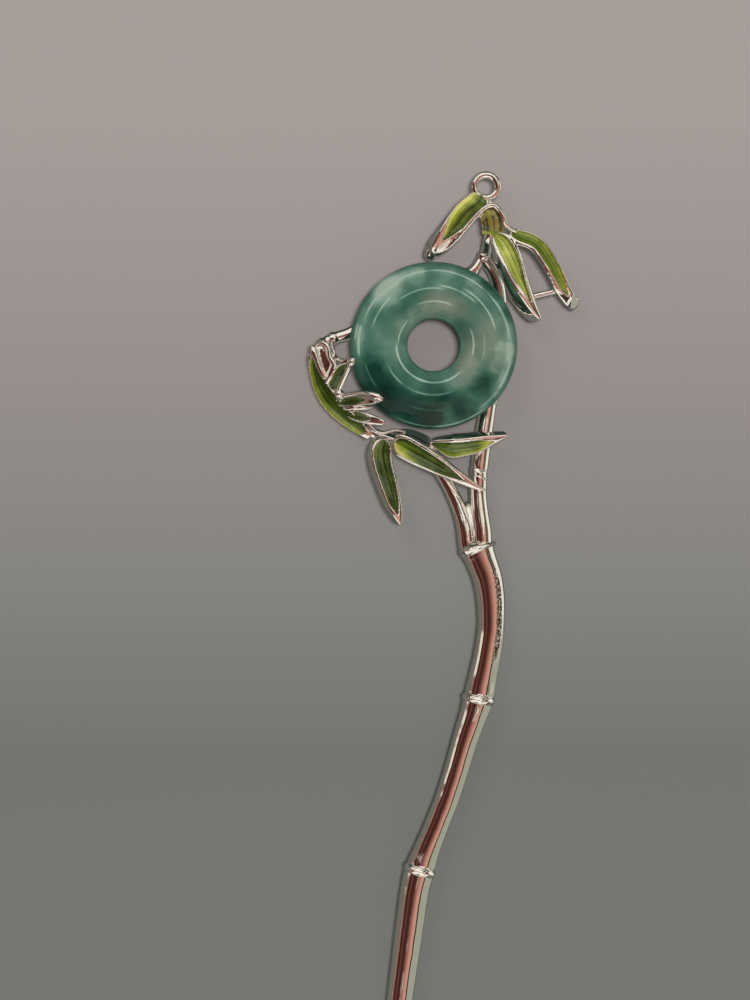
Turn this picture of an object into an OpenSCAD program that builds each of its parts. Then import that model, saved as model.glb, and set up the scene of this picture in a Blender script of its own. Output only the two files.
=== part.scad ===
// Bamboo hair stick: a cast and plated bamboo cane that forks into a hoop of thin canes, with
// enamelled leaves around a jade disc. It lies on its back, with the disc facing up (+Z) and
// the point of the stick towards -Y. All sizes are in millimetres.

/* [Jade disc] */
// Outer diameter of the disc
disc_d = 28; // [27:0.5:28.5]
// Diameter of the hole through the disc
disc_hole_d = 8.8; // [7:0.2:9.4]
// Thickness of the disc at the top of its dome
disc_t = 5.6; // [5:0.2:6]
// Height of the disc's back above the table
disc_lift = 2.5; // [2.5:0.1:2.8]

/* [Bamboo stick] */
// Factor on the radius of the stick and its branches
cane_scale = 1; // [0.95:0.01:1.05]
// Height of the joint rings above the cane's surface
joint_rise = 0.26; // [0.15:0.01:0.3]
// Width of a joint ring along the cane
joint_w = 1.3; // [0.9:0.1:1.6]

/* [Leaves] */
// Width of the bare metal rim around the enamel
rim_w = 0.5; // [0.4:0.02:0.6]
// Depth of the enamel's pocket below the rim
pocket_depth = 0.7; // [0.5:0.05:0.8]
// Height of the vein along the pocket's floor, as a share of the pocket's depth
vein_share = 0.4; // [0.2:0.05:0.5]

/* [Hanging loop] */
// Outer diameter of the loop
loop_d = 5; // [4.6:0.1:5.2]
// Thickness of the loop's wire
wire_d = 1.4; // [1.2:0.1:1.4]
// Radius of the round hole through the loop
loop_hole_r = 1.2; // [1.18:0.01:1.25]

/* [Hidden] */

silver = "gainsboro";
leaf_green = "olivedrab";
jade_green = "cadetblue";

// The tables below are measured from the disc's centre. This moves the origin to the centre of
// the whole outline's footprint.
frame_shift = [-1.93, 59.83, 0];

gap = 0.06;          // clearance between a setting and what sits in it
floor_gap = 0.12;    // the same under the enamel
enamel_sink = 0.1;   // the enamel's surface lies this far below the rim
enamel_dome = 0.12;  // and rises this much over the vein
thin_end = 0.03;     // depth of the pocket where a leaf runs out into bare metal
end_share = 0.4;     // share of the pocket's first and last step that the enamel leaves bare
dome_shoulder = 0.7; // share of the dome's height that the enamel has halfway to its edge
least_pocket = 0.3;  // a pocket is at least this share of the leaf's width
most_depth = 0.4;    // and at most this share of its thickness deep
cut_top = 0.5;       // a crossed pocket is cleared up to this height over the rim
cut_growth = 0.5;    // and to this share of the clearance round the enamel

ring_foot = 0.05;    // a joint ring's foot lies this far inside the cane
shoulder_rise = 0.8; // height of its shoulders, as a share of its rise
shoulder_w = 0.4;    // distance between them, as a share of its width
ring_sides = 16;
stick_sides = 16;
stick_steps = 48;
cane_sides = 10;
cane_steps = 22;

twig_steps = 2;      // steps from one row of a twig's table to the next
twig_sides = 6;
knob_sides = 8;
disc_sides = 180;
disc_arc_sides = 192;  // sides of a whole circle in the disc's profile
disc_seat_sides = 64;  // the same two for the seat that is cleared for the disc
disc_seat_arc_sides = 48;
loop_sides = 48;
wire_sides = 36;
loop_seat_sides = 24;  // the same two for the seat that is cleared for the loop
wire_seat_sides = 12;

// Columns of the tray's table: the outside of a tray from its rim down, as shares of half its
// width and of its thickness.
tray_side = [
    [0.95, 0],
    [1, 0.15],
    [0.93, 0.72],
    [0.55, 1]
];

// Columns of a cane's table: x, y, z of its centre line and its radius.
stick = [
    [7.3, -33.3, 2.90, 2.25],
    [7.5, -33.9, 2.90, 2.50],
    [8.3, -35.8, 2.90, 2.38],
    [9.15, -38.8, 2.88, 2.36],
    [9.6, -42.4, 2.86, 2.32],
    [9.7, -46.6, 2.84, 2.30],
    [9.2, -50.8, 2.82, 2.32],
    [8.4, -54.9, 2.80, 2.38],
    [7.5, -59.1, 2.80, 2.52],
    [6.7, -61.8, 2.78, 2.34],
    [5.4, -65.7, 2.76, 2.18],
    [3.9, -70.8, 2.74, 2.08],
    [2.3, -75.8, 2.72, 2.04],
    [0.5, -80.4, 2.70, 2.05],
    [-1.1, -84.4, 2.70, 2.22],
    [-2.3, -87.8, 2.72, 2.46],
    [-3.1, -91.0, 2.72, 2.44],
    [-3.8, -95.8, 2.72, 2.40],
    [-4.7, -102.4, 2.72, 2.30],
    [-5.6, -109.1, 2.70, 2.18],
    [-6.8, -119.0, 2.65, 1.95],
    [-7.9, -129.0, 2.60, 1.62],
    [-8.9, -139.0, 2.50, 1.22],
    [-9.6, -146.0, 2.40, 0.82],
    [-9.85, -148.3, 2.38, 0.55],
    [-9.9, -148.75, 2.38, 0.20]
];
right_branch = [
    [8.2, -33.8, 2.95, 1.70],
    [8.1, -31.0, 2.85, 1.66],
    [7.7, -27.5, 2.60, 1.55],
    [7.5, -24.5, 2.40, 1.46],
    [7.6, -21.8, 2.30, 1.52],
    [7.9, -19.0, 2.20, 1.50],
    [8.3, -16.0, 2.00, 1.48],
    [8.8, -12.6, 1.80, 1.45],
    [9.4, -9.0, 1.58, 1.30],
    [10.0, -4.5, 1.20, 1.20],
    [10.6, 0.0, 1.20, 1.20],
    [11.1, 4.5, 1.20, 1.20],
    [11.2, 8.6, 1.20, 1.15],
    [10.4, 12.0, 1.35, 1.10],
    [8.7, 14.7, 1.80, 1.00]
];
left_branch = [
    [5.8, -33.6, 2.95, 1.55],
    [5.3, -30.5, 2.85, 1.48],
    [4.4, -27.5, 2.60, 1.32],
    [3.0, -24.3, 2.40, 1.20],
    [1.2, -21.2, 2.30, 1.15],
    [-1.2, -18.4, 2.20, 1.10],
    [-4.2, -16.4, 2.00, 1.05],
    [-7.4, -15.5, 1.80, 1.00],
    [-10.4, -14.4, 1.60, 1.00],
    [-13.3, -12.0, 1.30, 1.00],
    [-16.0, -9.0, 1.00, 1.00],
    [-17.9, -5.6, 1.10, 1.00],
    [-18.7, -2.4, 1.50, 0.95],
    [-18.9, 0.1, 1.90, 1.05]
];
upper_arch = [
    [-18.9, 0.1, 1.90, 1.00],
    [-16.8, 1.3, 1.60, 1.00],
    [-14.1, 2.2, 1.35, 1.05],
    [-11.2, 3.9, 1.20, 1.10],
    [-8.0, 6.4, 1.20, 1.15],
    [-4.0, 8.7, 1.20, 1.18],
    [0.4, 10.1, 1.20, 1.18],
    [4.4, 11.4, 1.20, 1.12],
    [7.0, 13.0, 1.40, 1.05],
    [8.4, 14.9, 1.90, 1.00],
    [8.9, 16.8, 2.60, 0.90],
    [9.2, 18.6, 3.20, 1.05],
    [9.7, 20.6, 3.70, 1.25],
    [9.8, 22.4, 4.00, 1.20]
];

// Columns of the joint rings' table: the cane, the place along it counted in its rows, and how
// much wider the ring is than the cane there.
joints = [
    [stick, 1, 0],
    [stick, 8, 0],
    [stick, 15, 0],
    [right_branch, 4, 0],
    [right_branch, 8, 0],
    [upper_arch, 1, 0],
    [upper_arch, 9, 0.1]
];

// Columns of the twigs' tables: x, y, z and radius.
twigs = [
    // The rim that curls from the top left leaf over the knot to the top right leaf
    [[7.0, 20.9, 4.95, 0.40], [8.7, 23.0, 5.2, 0.40], [9.8, 23.6, 5.25, 0.40],
     [10.9, 22.8, 5.2, 0.40], [11.7, 21.4, 5.1, 0.40], [12.0, 20.3, 5.0, 0.40],
     [12.9, 19.4, 4.8, 0.36]],
    // The bar that ties the middle and the right leaf
    [[16.2, 8.1, 4.4, 0.55], [20.4, 9.1, 4.2, 0.52]],
    // The wires along the side leaves, which hold the disc's edge
    [[-16.0, -8.9, 4.6, 0.60], [-15.3, -7.4, 5.3, 0.45], [-14.3, -5.3, 6.4, 0.40],
     [-13.4, -3.1, 7.6, 0.40]],
    [[-16.4, -8.0, 4.6, 0.60], [-14.9, -8.05, 5.5, 0.45], [-12.7, -8.1, 6.7, 0.40],
     [-10.9, -8.05, 7.7, 0.40], [-9.1, -8.2, 8.5, 0.40]],
    // The bare leaf between the middle and the lower side leaf
    [[-15.5, -10.5, 4.6, 0.40], [-12.75, -10.6, 5.1, 0.45], [-10.4, -10.6, 5.2, 0.25]],
    // The struts below the knee of the left branch
    [[-18.7, 0.0, 2.6, 0.65], [-18.5, -1.6, 3.8, 0.60], [-17.8, -3.2, 4.6, 0.60],
     [-16.6, -4.9, 5.0, 0.50]],
    [[-16.8, 0.9, 2.2, 0.40], [-16.6, -1.2, 3.4, 0.32], [-16.0, -2.5, 4.7, 0.32],
     [-14.8, -2.9, 6.2, 0.38]],
    // The tendril between the side leaves and the bottom leaves
    [[-10.9, -13.1, 4.4, 0.30], [-9.7, -14.3, 4.5, 0.30], [-8.3, -14.6, 4.5, 0.30],
     [-6.4, -14.1, 4.3, 0.30], [-4.6, -14.3, 4.0, 0.22]]
];

// Columns of a leaf's table: x, y, z of the middle of its face, half its width, its thickness,
// and the roll that lifts the side on the right of the way from base to tip, in degrees.
top_left = [
    [7.9, 25.2, 4.9, 1.85, 2.2, 5],
    [7.0, 24.0, 5.3, 1.95, 2.4, 10],
    [5.5, 22.3, 5.6, 2.08, 2.6, 18],
    [4.0, 20.3, 5.6, 1.98, 2.8, 24],
    [2.55, 18.4, 5.5, 1.80, 3.0, 28],
    [1.2, 16.7, 5.3, 1.40, 3.0, 30],
    [0.4, 15.7, 5.1, 0.80, 2.8, 30]
];
top_knot = [
    [8.3, 23.3, 4.9, 0.90, 2.0, 0],
    [9.1, 22.3, 5.2, 1.40, 2.2, 0],
    [9.7, 21.0, 5.3, 1.65, 2.4, 0],
    [10.0, 19.8, 5.1, 1.60, 2.4, 0],
    [10.2, 18.8, 4.8, 1.50, 2.2, 0]
];
top_middle = [
    [10.4, 18.7, 5.0, 1.30, 2.0, 10],
    [11.8, 16.75, 5.8, 1.95, 2.6, 18],
    [13.0, 14.25, 6.3, 2.08, 3.0, 24],
    [14.0, 11.65, 6.5, 1.78, 3.2, 26],
    [15.2, 9.0, 6.5, 1.42, 3.2, 28],
    [16.3, 6.75, 6.3, 0.95, 3.0, 28],
    [17.2, 5.2, 6.0, 0.62, 2.6, 28],
    [17.8, 4.3, 5.8, 0.28, 2.2, 26]
];
top_right = [
    [12.7, 18.9, 4.8, 0.95, 1.6, 0],
    [14.35, 18.1, 5.3, 1.32, 1.8, 8],
    [16.5, 17.3, 5.5, 1.42, 2.0, 12],
    [18.0, 15.95, 5.6, 1.38, 2.0, 14],
    [19.5, 13.65, 5.6, 1.36, 2.0, 14],
    [20.6, 11.65, 5.4, 1.36, 2.0, 12],
    [21.5, 9.6, 5.1, 1.32, 2.0, 8],
    [22.7, 7.9, 4.6, 1.15, 2.0, 0],
    [23.9, 6.9, 4.2, 0.80, 1.6, -5]
];
side_outer = [
    [-10.6, -15.4, 4.2, 0.60, 1.8, 5],
    [-11.6, -14.4, 4.4, 0.85, 2.0, 8],
    [-13.2, -13.1, 4.4, 1.20, 2.2, 12],
    [-15.2, -11.4, 4.3, 1.50, 2.4, 18],
    [-17.2, -9.4, 4.2, 1.60, 2.4, 22],
    [-18.7, -7.1, 4.2, 1.45, 2.3, 24],
    [-19.5, -4.8, 4.4, 1.25, 2.2, 24],
    [-20.1, -2.4, 4.6, 0.85, 2.0, 20],
    [-20.3, -0.7, 4.7, 0.40, 1.8, 15]
];
side_upper = [
    [-17.1, -7.6, 4.4, 0.70, 1.8, 0],
    [-16.3, -5.9, 5.2, 1.00, 1.7, 0],
    [-15.3, -4.2, 6.2, 1.10, 1.4, 0],
    [-14.2, -3.1, 7.1, 0.85, 1.0, 0],
    [-13.1, -2.5, 7.7, 0.55, 0.8, 0]
];
side_middle = [
    [-16.3, -9.4, 4.5, 0.70, 1.8, 0],
    [-14.4, -9.3, 5.4, 0.95, 1.7, 0],
    [-12.3, -9.1, 6.6, 1.00, 1.4, 0],
    [-10.3, -8.9, 7.8, 1.00, 1.1, 0],
    [-8.5, -8.8, 8.5, 0.60, 0.9, 0]
];
side_lower = [
    [-14.4, -11.3, 4.4, 0.60, 1.8, 0],
    [-12.9, -11.7, 4.8, 0.90, 1.8, 0],
    [-11.3, -12.1, 5.0, 0.95, 1.7, 0],
    [-9.6, -12.5, 5.1, 0.75, 1.4, 0],
    [-8.1, -12.9, 5.1, 0.45, 1.0, 0]
];
bottom_left = [
    [-7.8, -15.5, 5.0, 1.25, 2.2, 24],
    [-8.5, -17.6, 5.6, 1.95, 2.4, 24],
    [-8.3, -19.9, 5.7, 1.88, 2.4, 24],
    [-7.5, -22.7, 5.7, 1.72, 2.4, 23],
    [-6.7, -25.6, 5.5, 1.40, 2.3, 22],
    [-6.0, -27.9, 5.2, 0.95, 2.2, 20],
    [-5.65, -29.2, 4.9, 0.50, 2.0, 18],
    [-5.5, -29.9, 4.7, 0.20, 1.8, 15]
];
bottom_middle = [
    [-6.9, -16.0, 5.4, 1.30, 2.4, -10],
    [-5.4, -16.7, 5.9, 1.90, 2.4, -10],
    [-3.0, -18.05, 6.2, 1.92, 2.4, -9],
    [-0.9, -19.2, 6.3, 1.75, 2.4, -8],
    [1.2, -20.4, 6.2, 1.48, 2.4, -8],
    [3.5, -21.7, 6.0, 1.10, 2.2, -8],
    [5.8, -22.9, 5.7, 0.72, 2.0, -6],
    [7.7, -23.8, 5.4, 0.38, 1.8, -4],
    [8.7, -24.2, 5.2, 0.15, 1.4, 0]
];
bottom_right = [
    [-0.6, -16.1, 5.2, 0.30, 2.0, -22],
    [0.9, -16.6, 5.6, 1.05, 2.4, -26],
    [2.9, -17.2, 5.9, 1.75, 2.6, -28],
    [4.8, -17.05, 6.0, 1.66, 2.6, -28],
    [6.9, -16.7, 5.9, 1.52, 2.6, -28],
    [8.8, -16.2, 5.7, 1.22, 2.4, -28],
    [10.6, -15.6, 5.4, 0.72, 2.2, -26],
    [12.4, -15.0, 5.2, 0.20, 1.8, -24]
];

// Columns of the leaves' table: the leaf, how many steps it is lofted in, and the steps at which
// its pocket starts and ends.
leaves = [
    [top_left, 11, 0, 9],
    [top_knot, 6, 1, 5],
    [top_middle, 12, 0, 9],
    [top_right, 12, 1, 10],
    [side_outer, 12, 1, 10],
    [side_upper, 7, 1, 5],
    [side_middle, 7, 1, 5],
    [side_lower, 7, 1, 5],
    [bottom_left, 11, 0, 9],
    [bottom_middle, 13, 1, 10],
    [bottom_right, 11, 1, 9]
];

// The leaves whose pockets other metal crosses, which is cut back there
crossed = [0, 1, 3, 4, 5, 6, 7];

// Columns of the knobs' table: x, y, z and radius of one end, then of the other.
knobs = [
    // The tips of the leaves, and the joint that the side leaves spread from
    [0.7, 16.3, 3.7, 1.15, -0.6, 15.5, 3.6, 1.00],
    [22.9, 7.7, 3.5, 0.95, 24.0, 6.8, 3.3, 0.75],
    [-20.2, -1.6, 3.9, 0.50, -20.3, -0.8, 4.0, 0.55],
    [-13.6, -3.1, 7.4, 0.60, -13.2, -2.7, 7.7, 0.62],
    [-9.8, -8.7, 8.2, 0.70, -8.9, -8.7, 8.6, 0.68],
    [-9.4, -12.6, 4.7, 0.50, -8.3, -12.8, 4.7, 0.45],
    [-16.1, -8.6, 4.4, 0.95, -15.6, -8.0, 4.9, 0.80],
    [-18.8, 0.2, 2.2, 1.05, -18.2, 0.5, 2.6, 0.80],
    [8.6, 24.6, 3.5, 0.90, 9.5, 22.6, 3.6, 1.05]
];

loop_place = [8.8, 26.6, 4.1];

// Smooth tables: a row between the rows of a table, with all its columns

function catmull(a, b, c, d, t) =
    (2 * b + (c - a) * t + (2 * a - 5 * b + 4 * c - d) * t * t
    + (3 * b - a - 3 * c + d) * t * t * t) / 2;

function row_at(rows, place) =
    let (last = len(rows) - 1, i = min(floor(place), last - 1))
    catmull(rows[max(i - 1, 0)], rows[i], rows[i + 1], rows[min(i + 2, last)], place - i);

function stretch(rows, from, to, steps) =
    [for (k = [0:steps]) row_at(rows, (from + (to - from) * k / steps) * (len(rows) - 1))];

function place(row) = [row[0], row[1], row[2]];

function heading(rows, k) =
    let (way = place(rows[min(k + 1, len(rows) - 1)]) - place(rows[max(k - 1, 0)]))
    way / norm(way);

function across(way) = let (side = cross(way, [0, 0, 1])) side / norm(side);

// Closed skin over rings of equal length

function skin_faces(rings, sides) = concat(
    [[for (j = [sides - 1:-1:0]) j]],
    [for (k = [0:rings - 2], j = [0:sides - 1])
        let (a = k * sides, b = a + sides, n = (j + 1) % sides)
        each [[a + j, a + n, b + n], [a + j, b + n, b + j]]],
    [[for (j = [0:sides - 1]) (rings - 1) * sides + j]]
);

module skin(rings) {
    sides = len(rings[0]);
    polyhedron([for (ring = rings) each ring], skin_faces(len(rings), sides), convexity = 6);
}

module cane(rows, steps, sides) {
    path = stretch(rows, 0, 1, steps);
    skin([for (k = [0:steps])
        let (way = heading(path, k), side = across(way), up = cross(side, way))
        [for (j = [0:sides - 1])
            let (turn = 360 * j / sides)
            place(path[k]) + path[k][3] * cane_scale * (cos(turn) * side + sin(turn) * up)]]);
}

module joint_ring(rows, at, wider) {
    row = row_at(rows, at);
    near = 0.2;
    way = place(row_at(rows, at + near)) - place(row_at(rows, at - near));
    r = row[3] * cane_scale + wider;
    foot = [r - ring_foot, joint_w / 2];
    shoulder = [r + joint_rise * shoulder_rise, joint_w * shoulder_w / 2];
    translate(place(row))
        rotate([0, acos(way[2] / norm(way)), atan2(way[1], way[0])])
            rotate_extrude($fn = ring_sides)
                polygon([[0, -foot[1]], [foot[0], -foot[1]], [shoulder[0], -shoulder[1]],
                    [r + joint_rise, 0], shoulder, foot, [0, foot[1]]]);
}

module knob(row) {
    hull() {
        translate([row[0], row[1], row[2]]) sphere(row[3], $fn = knob_sides);
        translate([row[4], row[5], row[6]]) sphere(row[7], $fn = knob_sides);
    }
}

// Leaves: each section is an outline of [across, up] in the plane of that section

function leaf_rows(leaf) = stretch(leaf[0], 0, 1, leaf[1]);

function leaf_section(rows, k, outline) =
    let (way = heading(rows, k), flat = across(way), roll = rows[k][5],
        side = cos(roll) * flat + sin(roll) * cross(flat, way), up = cross(side, way))
    [for (p = outline) place(rows[k]) + p[0] * side + p[1] * up];

function pocket_half(row) = max(row[3] - rim_w, least_pocket * row[3]);

function pocket_floor(leaf, row, k) =
    k <= leaf[2] || k >= leaf[3] ? thin_end : min(pocket_depth, row[4] * most_depth);

function tray_outline(w, t, p, depth) =
    let (side = [for (s = tray_side) [w * s[0], -t * s[1]]],
        other = [for (s = tray_side) [-w * s[0], -t * s[1]]])
    [side[1], side[0], [p, 0], [p, -depth], [0, vein_share * depth - depth], [-p, -depth], [-p, 0],
     other[0], other[1], other[2], other[3], side[3], side[2]];

function enamel_outline(w, top, floor, vein) =
    let (shoulder = top + enamel_dome * dome_shoulder)
    [[w, top], [w / 2, shoulder], [0, top + enamel_dome], [-w / 2, shoulder],
     [-w, top], [-w, floor], [0, floor + vein], [w, floor]];

// The enamel's own skin, or with a share of 0 to 1 the same grown towards its pocket's walls
module enamel_skin(leaf, top, growth) {
    rows = leaf_rows(leaf);
    rings = [for (k = [leaf[2]:leaf[3]])
        let (depth = pocket_floor(leaf, rows[k], k))
        leaf_section(rows, k, enamel_outline(pocket_half(rows[k]) - gap * (1 - growth), top,
            floor_gap * (1 - growth) - depth, vein_share * depth))];
    last = len(rings) - 1;
    share = end_share * (1 - growth);
    skin([for (k = [0:last])
        k == 0 ? rings[0] + share * (rings[1] - rings[0])
        : k == last ? rings[last] + share * (rings[last - 1] - rings[last])
        : rings[k]]);
}

module leaf_tray(leaf) {
    rows = leaf_rows(leaf);
    skin([for (k = [0:leaf[1]])
        let (row = rows[k])
        leaf_section(rows, k, tray_outline(row[3], row[4], pocket_half(row), pocket_floor(leaf, row, k)))]);
}

module enamel(index) {
    color(leaf_green)
        translate(frame_shift)
            enamel_skin(leaves[index], -enamel_sink, 0);
}

// The disc's profile: two shallow domes, a round edge and a funnel at each end of the hole

module disc_profile(fineness) {
    crown_r = 8;              // radius of the domes, seen in section
    edge_r = 2.4;             // radius of the outer edge
    ridge = disc_d / 2 - 4.7; // where the domes are highest
    hole_r = disc_hole_d / 2;
    funnel_w = 1.9;
    funnel_d = 1.5;
    funnel_top = 0.4;         // depth of the funnel's widest place below the front or the back
    past = 1;                 // the funnel's cutter reaches this far past the stone
    difference() {
        intersection() {
            translate([ridge, disc_t - crown_r]) circle(crown_r, $fn = fineness);
            translate([ridge, crown_r]) circle(crown_r, $fn = fineness);
            union() {
                translate([disc_d / 2 - edge_r, disc_t / 2]) circle(edge_r, $fn = fineness / 2);
                translate([hole_r, 0]) square([disc_d / 2 - edge_r - hole_r, disc_t]);
            }
        }
        for (end = [0, 1])
            translate([0, end * disc_t]) mirror([0, end])
                polygon([[hole_r - past, -past], [hole_r + funnel_w, -past],
                    [hole_r + funnel_w, funnel_top], [hole_r, funnel_top + funnel_d],
                    [hole_r - past, funnel_top + funnel_d]]);
    }
}

module jade_disc() {
    color(jade_green)
        translate(frame_shift + [0, 0, disc_lift])
            rotate_extrude($fn = disc_sides) disc_profile(disc_arc_sides);
}

// The loop: a round wire whose inside is dressed to a true round hole

module loop_profile(grow, sides) {
    intersection() {
        translate([loop_d / 2 - wire_d / 2, 0]) circle(wire_d / 2 + grow, $fn = sides);
        translate([loop_hole_r - grow, -wire_d]) square([loop_d, 2 * wire_d]);
    }
}

module hanging_loop() {
    color(silver)
        translate(frame_shift + loop_place)
            rotate_extrude($fn = loop_sides) loop_profile(0, wire_sides);
}

module bamboo_frame() {
    color(silver)
        translate(frame_shift)
            difference() {
                union() {
                    cane(stick, stick_steps, stick_sides);
                    cane(right_branch, cane_steps, cane_sides);
                    cane(left_branch, cane_steps, cane_sides);
                    cane(upper_arch, cane_steps, cane_sides);
                    for (j = joints) joint_ring(j[0], j[1], j[2]);
                    for (t = twigs) cane(t, twig_steps * (len(t) - 1), twig_sides);
                    for (k = knobs) knob(k);
                    for (leaf = leaves) leaf_tray(leaf);
                }
                for (index = crossed) enamel_skin(leaves[index], cut_top, cut_growth);
                translate([0, 0, disc_lift])
                    rotate_extrude($fn = disc_seat_sides) offset(delta = gap) disc_profile(disc_seat_arc_sides);
                translate(loop_place)
                    rotate_extrude($fn = loop_seat_sides) loop_profile(gap, wire_seat_sides);
            }
}

bamboo_frame();
hanging_loop();
jade_disc();
enamel(0);  // enamel_top_left
enamel(1);  // enamel_top_knot
enamel(2);  // enamel_top_middle
enamel(3);  // enamel_top_right
enamel(4);  // enamel_side_outer
enamel(5);  // enamel_side_upper
enamel(6);  // enamel_side_middle
enamel(7);  // enamel_side_lower
enamel(8);  // enamel_bottom_left
enamel(9);  // enamel_bottom_middle
enamel(10);  // enamel_bottom_right
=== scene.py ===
import math

import bpy
from mathutils import Matrix, Vector


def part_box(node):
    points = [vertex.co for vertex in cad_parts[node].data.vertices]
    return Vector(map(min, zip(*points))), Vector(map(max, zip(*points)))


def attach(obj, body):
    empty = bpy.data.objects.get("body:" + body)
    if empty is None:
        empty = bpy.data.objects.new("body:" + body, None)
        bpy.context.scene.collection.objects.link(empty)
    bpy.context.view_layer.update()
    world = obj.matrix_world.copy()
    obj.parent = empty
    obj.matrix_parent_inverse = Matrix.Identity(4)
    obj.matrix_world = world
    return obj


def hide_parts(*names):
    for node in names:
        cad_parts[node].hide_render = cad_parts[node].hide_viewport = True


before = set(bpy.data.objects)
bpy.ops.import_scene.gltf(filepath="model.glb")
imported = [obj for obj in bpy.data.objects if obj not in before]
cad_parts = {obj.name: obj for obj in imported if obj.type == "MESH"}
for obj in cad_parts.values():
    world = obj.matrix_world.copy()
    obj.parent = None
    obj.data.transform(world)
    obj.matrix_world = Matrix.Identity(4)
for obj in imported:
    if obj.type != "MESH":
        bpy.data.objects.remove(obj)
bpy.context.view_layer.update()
mm = 0.001

# every table below is in millimetres from the disc's centre, with heights above the floor
discLow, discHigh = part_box("jade_disc")
discMiddle = (discLow + discHigh) / 2


def spot(x, y, z):
    return Vector((discMiddle.x + x * mm, discMiddle.y + y * mm, z * mm))


def clearSelection():
    if bpy.context.object and bpy.context.object.mode != "OBJECT":
        bpy.ops.object.mode_set(mode="OBJECT")
    bpy.ops.object.select_all(action="DESELECT")


def pick(thing):
    clearSelection()
    thing.select_set(True)
    bpy.context.view_layer.objects.active = thing


def applyModifier(thing, kind, **settings):
    pick(thing)
    modifier = thing.modifiers.new(kind.title(), kind)
    for key, value in settings.items():
        setattr(modifier, key, value)
    bpy.ops.object.modifier_apply(modifier=modifier.name)


# a table's rows are joined by a smooth curve, and so are their widths and heights
def between(rows, at):
    last = len(rows) - 1
    i = min(int(at), last - 1)
    t = at - i
    a, b, c, d = rows[max(i - 1, 0)], rows[i], rows[i + 1], rows[min(i + 2, last)]
    result = []
    for p, q, r, s in zip(a, b, c, d):
        bend = (2 * p - 5 * q + 4 * r - s) * t * t
        result.append((2 * q + (r - p) * t + bend + (3 * q - p - 3 * r + s) * t ** 3) / 2)
    return result


# gather draws the steps closer together near both ends
def smoothRows(rows, steps, first=0.0, last=1.0, gather=0.0):
    fine = []
    for k in range(steps + 1):
        eased = (1 - math.cos(math.pi * k / steps)) / 2
        share = (1 - gather) * k / steps + gather * eased
        fine.append(between(rows, (first + (last - first) * share) * (len(rows) - 1)))
    return fine


def lengths(points):
    along = [0.0]
    for a, b in zip(points, points[1:]):
        along.append(along[-1] + (b - a).length / mm)
    return along


# size of a rounded end, as a share of the full size, at a distance from its tip; it never gets to 0
def roundedEnd(away, reach, least=0.02):
    return math.sqrt(max(least, 1 - (1 - min(away / reach, 1)) ** 2))


# a section's axes: across, up and back along the route, turned by the roll about the route
def sectionAxes(points, k, roll=0.0):
    way = (points[min(k + 1, len(points) - 1)] - points[max(k - 1, 0)]).normalized()
    side = way.cross(Vector((0, 0, 1))).normalized()
    side = Matrix.Rotation(-math.radians(roll), 3, way) @ side
    return Matrix((side, side.cross(way), -way)).transposed()


def turnSelected(turn, centre):
    for axis, angle in zip("XYZ", turn.to_euler("XYZ")):
        bpy.ops.transform.rotate(value=-angle, orient_axis=axis, center_override=centre)


# a ring with radius 1 is shaped, set up at the first section and extruded through the others
def sweep(name, sections, sides, shape=None):
    clearSelection()
    bpy.ops.mesh.primitive_circle_add(vertices=sides, radius=1, fill_type="NGON", location=(0, 0, 0))
    piece = bpy.context.object
    piece.name = name
    if shape:
        for vertex in piece.data.vertices:
            vertex.co = Vector((*shape(vertex.co.x, vertex.co.y), 0))
    bpy.ops.object.mode_set(mode="EDIT")
    bpy.ops.mesh.select_all(action="SELECT")
    centre, axes, width, height = sections[0]
    bpy.ops.transform.resize(value=(width, height, 1), center_override=(0, 0, 0))
    turnSelected(axes, (0, 0, 0))
    bpy.ops.transform.translate(value=centre)
    for after in sections[1:]:
        bpy.ops.mesh.extrude_region_move(TRANSFORM_OT_translate={"value": after[0] - centre})
        turnSelected(after[1] @ axes.inverted(), after[0])
        bpy.ops.transform.resize(
            value=(after[2] / width, after[3] / height, 1),
            orient_type="GLOBAL",
            orient_matrix=after[1],
            orient_matrix_type="GLOBAL",
            center_override=after[0],
        )
        centre, axes, width, height = after
    bpy.ops.mesh.select_all(action="SELECT")
    bpy.ops.mesh.normals_make_consistent(inside=False)
    bpy.ops.object.mode_set(mode="OBJECT")
    outward = sum(face.center.dot(face.normal) * face.area for face in piece.data.polygons)
    if outward < 0:
        bpy.ops.object.mode_set(mode="EDIT")
        bpy.ops.mesh.flip_normals()
        bpy.ops.object.mode_set(mode="OBJECT")
    return piece


# a bamboo node: the cane swells, with a raised bead and a faint groove beside it
nodeShape = {
    "swell": 2.2,  # reach of the swelling
    "share": 0.3,  # its height, as a share of the ring's rise
    "bead": 0.6,  # half width of the bead
    "round": 0.6,  # how full the bead is
    "gap": 0.15,  # from the bead to the groove
    "groove": 0.2,  # half width of the groove
    "depth": 0.25,  # its depth, as a share of the ring's rise
    "lean": 1.6,  # how far along the cane a tilted ring leans
    "reach": 0.5,  # rows on each side that get finer steps
    "steps": 24,
}


def nodeSwell(off):
    shape = nodeShape["share"] * math.exp(-((off / nodeShape["swell"]) ** 2))
    edge = off + nodeShape["bead"] + nodeShape["gap"]
    shape -= nodeShape["depth"] * math.exp(-((edge / nodeShape["groove"]) ** 2))
    return shape + max(0, 1 - abs(off) / nodeShape["bead"]) ** nodeShape["round"]


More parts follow.
